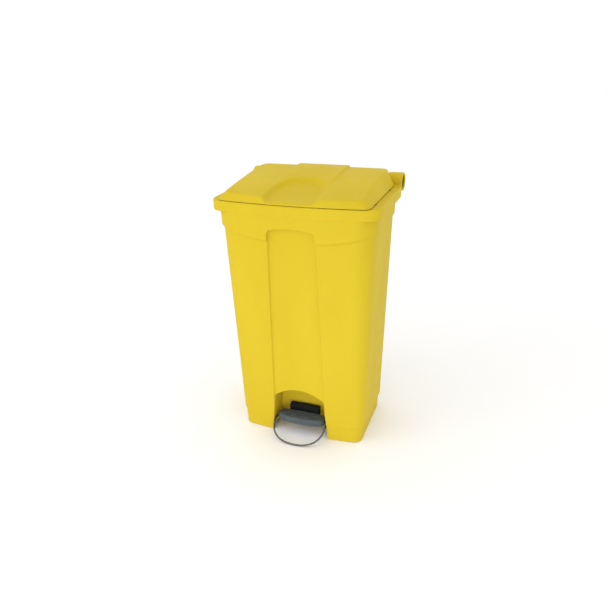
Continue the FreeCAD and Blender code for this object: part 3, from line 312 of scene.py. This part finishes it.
def thin_out(piece, triangles):
    """Bring a dense smooth mesh down to about a number of triangles, and shade it smooth."""
    piece.data.calc_loop_triangles()
    thinner = piece.modifiers.new("thin_out", "DECIMATE")
    thinner.ratio = min(1.0, triangles / len(piece.data.loop_triangles))
    settle(piece)
    for face in piece.data.polygons:
        face.use_smooth = True


def round_edges(node, width, segments=2, angle=32.0):
    """Small bevels on the sharp edges of a CAD node whose shape is already right."""
    thing = NODES[node]
    bevel = thing.modifiers.new("edge_bevel", "BEVEL")
    bevel.width = width
    bevel.segments = segments
    bevel.limit_method = "ANGLE"
    bevel.angle_limit = math.radians(angle)


def lathe(name, profile, centre, steps=96):
    """A ring about the X axis from a closed profile of (across, radius) points."""
    mesh = bpy.data.meshes.new(name)
    work = bmesh.new()
    rings = []
    for step in range(steps):
        turn = 2 * math.pi * step / steps
        ring = []
        for across, radius in profile:
            place = Vector((across, radius * math.cos(turn), radius * math.sin(turn)))
            ring.append(work.verts.new(place + centre))
        rings.append(ring)
    count = len(profile)
    for step in range(steps):
        here, there = rings[step], rings[(step + 1) % steps]
        for number in range(count):
            after = (number + 1) % count
            work.faces.new((here[number], here[after], there[after], there[number]))
    bmesh.ops.recalc_face_normals(work, faces=work.faces)
    work.to_mesh(mesh)
    work.free()
    piece = bpy.data.objects.new(name, mesh)
    bpy.context.scene.collection.objects.link(piece)
    return piece


def shade(piece, angle=35.0):
    with bpy.context.temp_override(object=piece, selected_objects=[piece],
                                   selected_editable_objects=[piece], active_object=piece):
        bpy.ops.object.shade_smooth_by_angle(angle=math.radians(angle))


def wheel_and_tyre(side):
    """A dished plastic hub and a round-shouldered tyre with three tread grooves."""
    low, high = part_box("tyre_" + side)
    centre = (Vector(low) + Vector(high)) / 2
    half = (high[0] - low[0]) / 2
    outer = (high[2] - low[2]) / 2
    bore = (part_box("wheel_" + side)[1][2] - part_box("wheel_" + side)[0][2]) / 2
    tread = [(-half, bore), (-half, outer - TYRE_SHOULDER), (-half + CHAMFER, outer - CHAMFER),
             (-half + TYRE_SHOULDER, outer)]
    for groove in (-0.5, 0.0, 0.5):
        middle = groove * half
        for across, depth in ((-GROOVE_TOP, 0), (-GROOVE_FOOT, GROOVE_DEPTH),
                              (GROOVE_FOOT, GROOVE_DEPTH), (GROOVE_TOP, 0)):
            tread.append((middle + across, outer - depth))
    tread += [(half - TYRE_SHOULDER, outer), (half - CHAMFER, outer - CHAMFER),
              (half, outer - TYRE_SHOULDER), (half, bore)]
    tyre = lathe("tyre_tread_" + side, tread, centre)
    take_over(tyre, "tyre_" + side)
    shade(tyre)
    rim = bore - HUB_RIM
    one_side = [(half, HUB_BORE), (half, HUB_BOSS - CHAMFER), (half - CHAMFER, HUB_BOSS),
                (half - HUB_DISH, HUB_BOSS + 0.002), (half - HUB_DISH, rim - 0.002),
                (half - CHAMFER, rim), (half, rim + CHAMFER), (half, bore - 0.0002)]
    other = [(-across, radius) for across, radius in reversed(one_side)]
    hub = lathe("wheel_hub_" + side, one_side + other, centre)
    take_over(hub, "wheel_" + side)
    shade(hub)


# ---------------------------------------------------------------- surroundings
def floor():
    work = bmesh.new()
    bmesh.ops.create_grid(work, x_segments=8, y_segments=8, size=FLOOR_REACH)
    mesh = bpy.data.meshes.new("floor")
    work.to_mesh(mesh)
    work.free()
    plane = bpy.data.objects.new("floor", mesh)
    bpy.context.scene.collection.objects.link(plane)
    nodes = Nodes("pale_floor")
    cloud = nodes.noise(0.8, 3.0)
    nodes.join(nodes.ramp(cloud, [(0.3, (0.93, 0.93, 0.93)), (0.7, (0.95, 0.95, 0.95))]),
               nodes.shader.inputs["Base Color"])
    nodes.set(rough=0.75, specular=0.2)
    paint(plane, nodes.material)


def area_light(name, place, target, size, power, colour=(1.0, 1.0, 1.0)):
    data = bpy.data.lights.new(name, "AREA")
    data.shape = "SQUARE"
    data.size = size
    data.energy = power
    data.color = colour
    lamp = bpy.data.objects.new(name, data)
    bpy.context.scene.collection.objects.link(lamp)
    lamp.location = place
    heading = Vector(target) - Vector(place)
    lamp.rotation_euler = heading.to_track_quat("-Z", "Y").to_euler()


def lights():
    world = bpy.data.worlds.new("soft_studio")
    world.use_nodes = True
    tree = world.node_tree
    heading = tree.nodes.new("ShaderNodeTexCoord").outputs["Generated"]
    axes = tree.nodes.new("ShaderNodeSeparateXYZ")
    tree.links.new(heading, axes.inputs["Vector"])
    rise = tree.nodes.new("ShaderNodeMapRange")
    rise.inputs["From Min"].default_value = 0.05
    rise.inputs["From Max"].default_value = 0.85
    rise.inputs["To Min"].default_value = HORIZON_LIGHT
    rise.inputs["To Max"].default_value = ZENITH_LIGHT
    tree.links.new(axes.outputs["Z"], rise.inputs["Value"])
    tree.links.new(rise.outputs["Result"], tree.nodes["Background"].inputs["Strength"])
    tree.nodes["Background"].inputs["Color"].default_value = (1.0, 1.0, 1.0, 1.0)
    bpy.context.scene.world = world
    area_light("key", (-1.5, -1.5, 1.6), (-0.1, 0.0, 0.45), 1.3, 7.5)
    area_light("low_fill", (0.1, -1.5, 0.25), (0.0, 0.0, 0.12), 0.7, 4.5)


def camera():
    azimuth, elevation, roll = (math.radians(turn) for turn in (AZIMUTH, ELEVATION, ROLL))
    back = Vector((math.sin(azimuth) * math.cos(elevation), -math.cos(azimuth) * math.cos(elevation),
                   math.sin(elevation)))
    right = Vector((math.cos(azimuth), math.sin(azimuth), 0.0))
    up = back.cross(right)
    right, up = (right * math.cos(roll) + up * math.sin(roll),
                 up * math.cos(roll) - right * math.sin(roll))
    place = Vector((0.0, SHIFT_BACK, AIM_HEIGHT)) + back * DISTANCE + right * SLIDE_RIGHT + up * SLIDE_UP
    data = bpy.data.cameras.new("photo_angle")
    data.lens = LENS
    data.sensor_width = 36.0
    data.sensor_fit = "HORIZONTAL"
    data.clip_end = 50.0
    holder = bpy.data.objects.new("photo_angle", data)
    bpy.context.scene.collection.objects.link(holder)
    turn = Matrix((right, up, back)).transposed().to_4x4()
    holder.matrix_world = Matrix.Translation(place) @ turn
    bpy.context.scene.camera = holder


MATERIALS = make_materials()
for part in frame["record"]["subparts"]:
    paint(NODES[part["node"]], MATERIALS[part["material_slot"]])
tub = soften("tub", "tub_moulding", TUB_VOXEL, TUB_ROUNDS)
lid = soften("lid", "lid_moulding", LID_VOXEL, LID_ROUNDS)
soften_crown(lid)
thin_out(tub, TUB_TRIANGLES)
thin_out(lid, LID_TRIANGLES)
round_edges("pedal_heel", HEEL_BEVEL, 3)
round_edges("pedal_pad", PAD_BEVEL)
for node_name in ("hinge_plug_left", "hinge_plug_right", "lid_arm", "loop_saddles", "rod_guide_lower",
                  "rod_guide_upper", "wheel_fork_left", "wheel_fork_right", "pedal_bracket_left",
                  "pedal_bracket_right", "rod_eye_lower", "rod_eye_upper", "pedal_lever"):
    round_edges(node_name, SMALL_BEVEL)
for side_name in ("left", "right"):
    wheel_and_tyre(side_name)
floor()
lights()
camera()
bpy.context.scene.view_settings.view_transform = "Standard"
